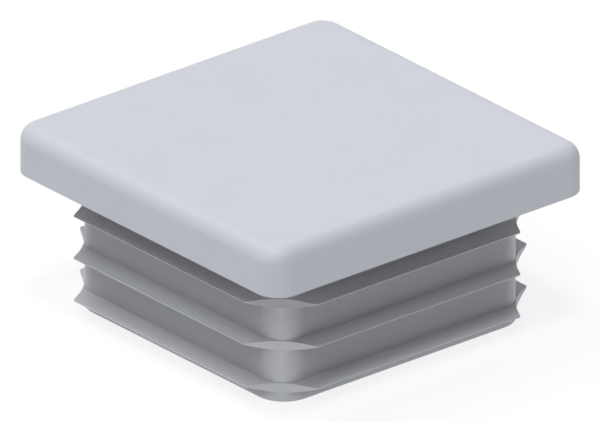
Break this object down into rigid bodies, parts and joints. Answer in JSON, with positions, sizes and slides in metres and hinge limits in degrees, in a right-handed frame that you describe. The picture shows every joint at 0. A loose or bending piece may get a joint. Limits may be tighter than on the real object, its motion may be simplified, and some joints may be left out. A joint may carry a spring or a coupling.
{
  "type": "square tube end cap",
  "caption": "Square plastic end cap with a flat, round-edged head and a hollow square plug whose rings of fins grip the inside of a tube.",
  "frame": {"origin": "centre of the plug's rim, the lower open end, on which the cap stands", "axes": "+Z from the plug's rim to the head's outer face; +X and +Y square to the plug's sides"},
  "size_m": [0.04, 0.04, 0.019],
  "materials": {
    "grey_plastic": "moulded, fine matt"
  },
  "bodies": {
    "root": {"end_cap": "grey_plastic"}
  },
  "joints": []
}
